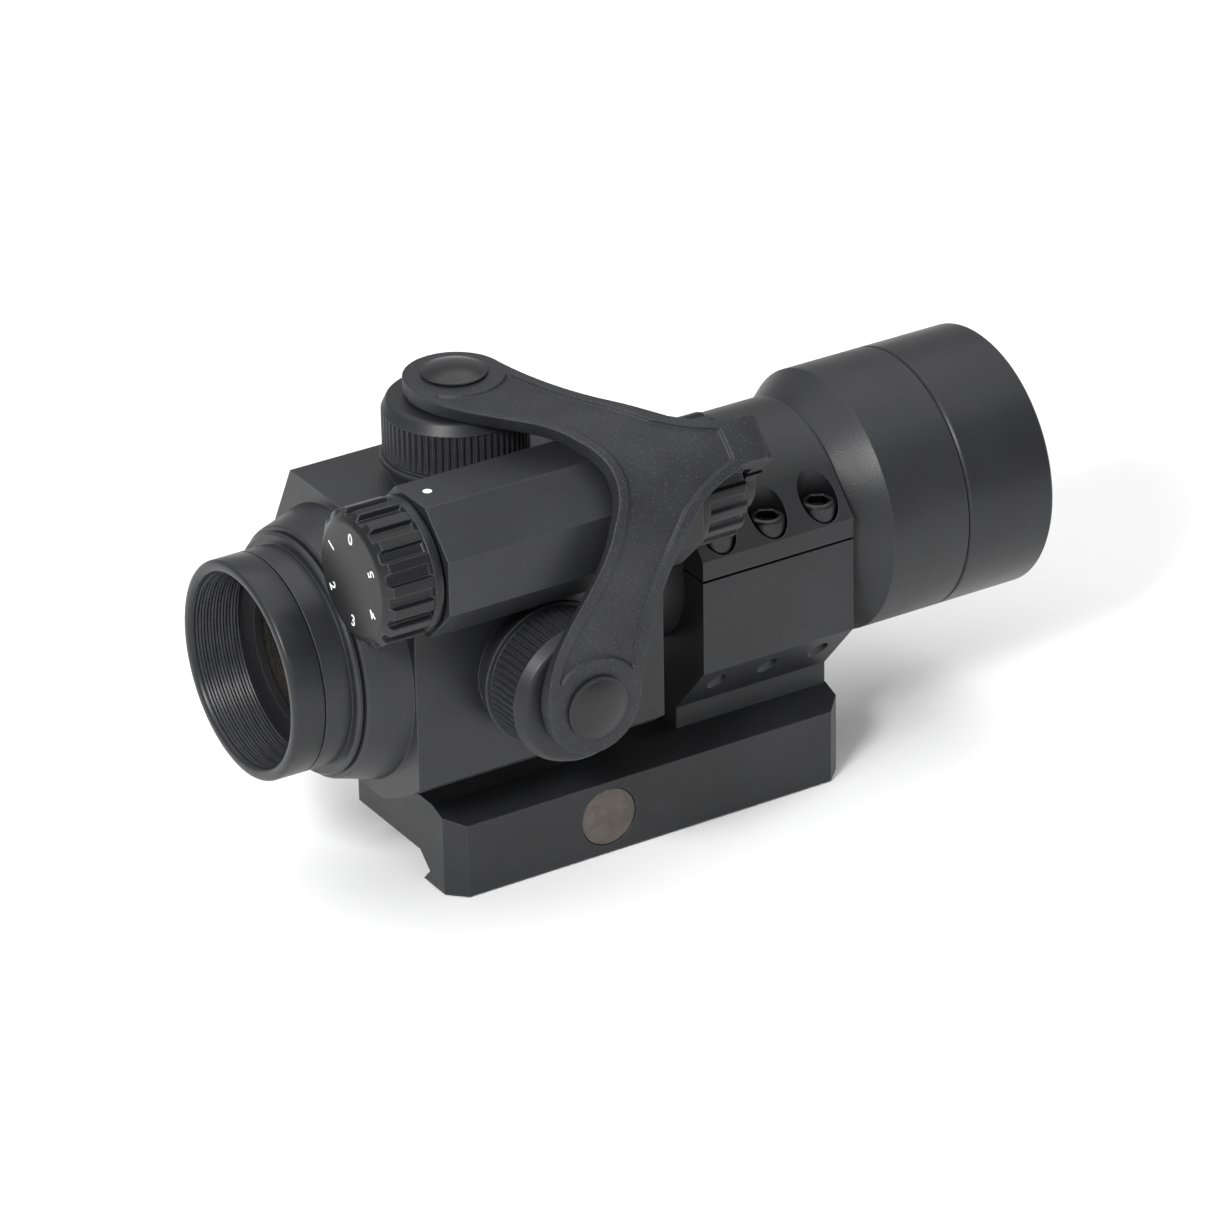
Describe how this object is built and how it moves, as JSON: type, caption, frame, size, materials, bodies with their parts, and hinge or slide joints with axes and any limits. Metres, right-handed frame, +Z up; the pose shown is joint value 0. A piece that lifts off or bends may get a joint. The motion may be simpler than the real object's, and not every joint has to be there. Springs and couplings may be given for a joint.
{
  "type": "tube reflex sight",
  "caption": "Tube reflex sight with brightness dial, capped windage and elevation adjusters joined by a rubber keeper strap, on a cantilever rail clamp with a ring.",
  "frame": {"origin": "middle of the rail seat, on its flat, in the plane of the optical axis", "axes": "+X forward along the optical axis, towards the objective; +Z up; -Y to the right of someone looking through it"},
  "size_m": [0.1478, 0.0723, 0.0888],
  "materials": {
    "anodised_black": "matte black hard anodised, fine bead-blast grain",
    "hood_black": "satin black anodised, turned",
    "cap_black": "satin black anodised, knurled",
    "dial_plastic": "black moulded plastic, semi-gloss, white digits",
    "strap_rubber": "black moulded rubber with fine speckle",
    "stud_rubber": "smooth black rubber",
    "steel_bare": "bare steel, dull",
    "steel_black": "black oxide steel",
    "spring_steel": "bright wire",
    "brass": "turned brass",
    "lens_glass": "coated optical glass",
    "inner_black": "matte black anodised, anti-reflection",
    "seal_rubber": "black O-ring rubber",
    "board_green": "glass-fibre circuit board",
    "led_red": "clear red emitter",
    "battery_metal": "nickel-plated can",
    "sleeve_plastic": "natural moulded plastic"
  },
  "bodies": {
    "sight": {"mount_base": "anodised_black", "ring_cap": "anodised_black", "tube_body": "anodised_black", "eyepiece_ring": "hood_black", "objective_hood": "hood_black", "eyepiece_retainer": "inner_black", "eyepiece_window": "lens_glass", "objective_window": "lens_glass", "ring_screws": "steel_black", "cross_bolt": "steel_bare", "elevation_pivot_pins": "spring_steel", "detent_ball": "spring_steel", "brightness_switch": "dial_plastic", "circuit_board": "board_green", "battery": "battery_metal", "battery_sleeve": "sleeve_plastic", "battery_spring": "spring_steel", "retaining_strap": "strap_rubber", "elevation_seal": "seal_rubber", "windage_seal": "seal_rubber"},
    "dial": {"brightness_dial": "dial_plastic", "dial_shaft": "spring_steel"},
    "battery_cover": {"battery_cap": "cap_black", "battery_cap_seal": "seal_rubber", "battery_cap_stud": "stud_rubber"},
    "elevation_cover": {"elevation_cap": "cap_black", "elevation_cap_stud": "stud_rubber"},
    "windage_cover": {"windage_cap": "cap_black", "windage_cap_stud": "stud_rubber"},
    "elevation_drive": {"elevation_plunger": "spring_steel"},
    "elevation_turn": {"elevation_screw": "brass"},
    "windage_drive": {"windage_plunger": "spring_steel"},
    "windage_turn": {"windage_screw": "brass"},
    "gimbal": {"gimbal_ring": "inner_black"},
    "optic": {"inner_tube": "inner_black", "windage_pivot_pins": "spring_steel", "collimating_lens": "lens_glass", "led_holder": "brass", "led_emitter": "led_red"},
    "jaw": {"clamp_jaw": "anodised_black"},
    "knob": {"clamp_knob": "cap_black"}
  },
  "joints": [
    {"name": "brightness_dial_turn", "type": "hinge", "parent": "sight", "child": "dial", "pos_m": [-0.055, -0.0255, 0.0645], "axis": [1, 0, 0], "range_deg": [0, 300]},
    {"name": "battery_cap_turn", "type": "hinge", "parent": "sight", "child": "battery_cover", "pos_m": [0.004, -0.0255, 0.0645], "axis": [1, 0, 0], "range_deg": [0, 720]},
    {"name": "elevation_cap_turn", "type": "hinge", "parent": "sight", "child": "elevation_cover", "pos_m": [-0.02585, 0, 0.074], "axis": [0, 0, 1], "range_deg": [0, 720]},
    {"name": "windage_cap_turn", "type": "hinge", "parent": "sight", "child": "windage_cover", "pos_m": [-0.02585, -0.035, 0.039], "axis": [0, -1, 0], "range_deg": [0, 720]},
    {"name": "elevation_drive_slide", "type": "slide", "parent": "sight", "child": "elevation_drive", "axis": [0, 0, 1], "range_m": [-0.0008, 0.0008]},
    {"name": "elevation_screw_turn", "type": "hinge", "parent": "elevation_drive", "child": "elevation_turn", "pos_m": [-0.02585, 0, 0.064], "axis": [0, 0, 1], "range_deg": [-577, 577]},
    {"name": "windage_drive_slide", "type": "slide", "parent": "sight", "child": "windage_drive", "axis": [0, -1, 0], "range_m": [-0.0008, 0.0008]},
    {"name": "windage_screw_turn", "type": "hinge", "parent": "windage_drive", "child": "windage_turn", "pos_m": [-0.02585, -0.025, 0.039], "axis": [0, -1, 0], "range_deg": [-577, 577]},
    {"name": "optic_elevation_tilt", "type": "hinge", "parent": "sight", "child": "gimbal", "pos_m": [0.024, 0, 0.039], "axis": [0, 1, 0], "range_deg": [-0.95, 0.95]},
    {"name": "optic_windage_tilt", "type": "hinge", "parent": "gimbal", "child": "optic", "pos_m": [0.024, 0, 0.039], "axis": [0, 0, 1], "range_deg": [-0.95, 0.95]},
    {"name": "clamp_jaw_slide", "type": "slide", "parent": "sight", "child": "jaw", "axis": [0, 1, 0], "range_m": [0, 0.0025]},
    {"name": "clamp_knob_turn", "type": "hinge", "parent": "jaw", "child": "knob", "pos_m": [-0.0087, 0.02, 0.0017], "axis": [0, 1, 0], "range_deg": [0, 902]}
  ],
  "couplings": [
    {"joint": "elevation_screw_turn", "follows": "elevation_drive_slide", "rad_per_m": 12566},
    {"joint": "optic_elevation_tilt", "follows": "elevation_drive_slide", "rad_per_m": 20.06},
    {"joint": "windage_screw_turn", "follows": "windage_drive_slide", "rad_per_m": 12566},
    {"joint": "optic_windage_tilt", "follows": "windage_drive_slide", "rad_per_m": 20.06},
    {"joint": "clamp_knob_turn", "follows": "clamp_jaw_slide", "rad_per_m": 6283.2}
  ]
}
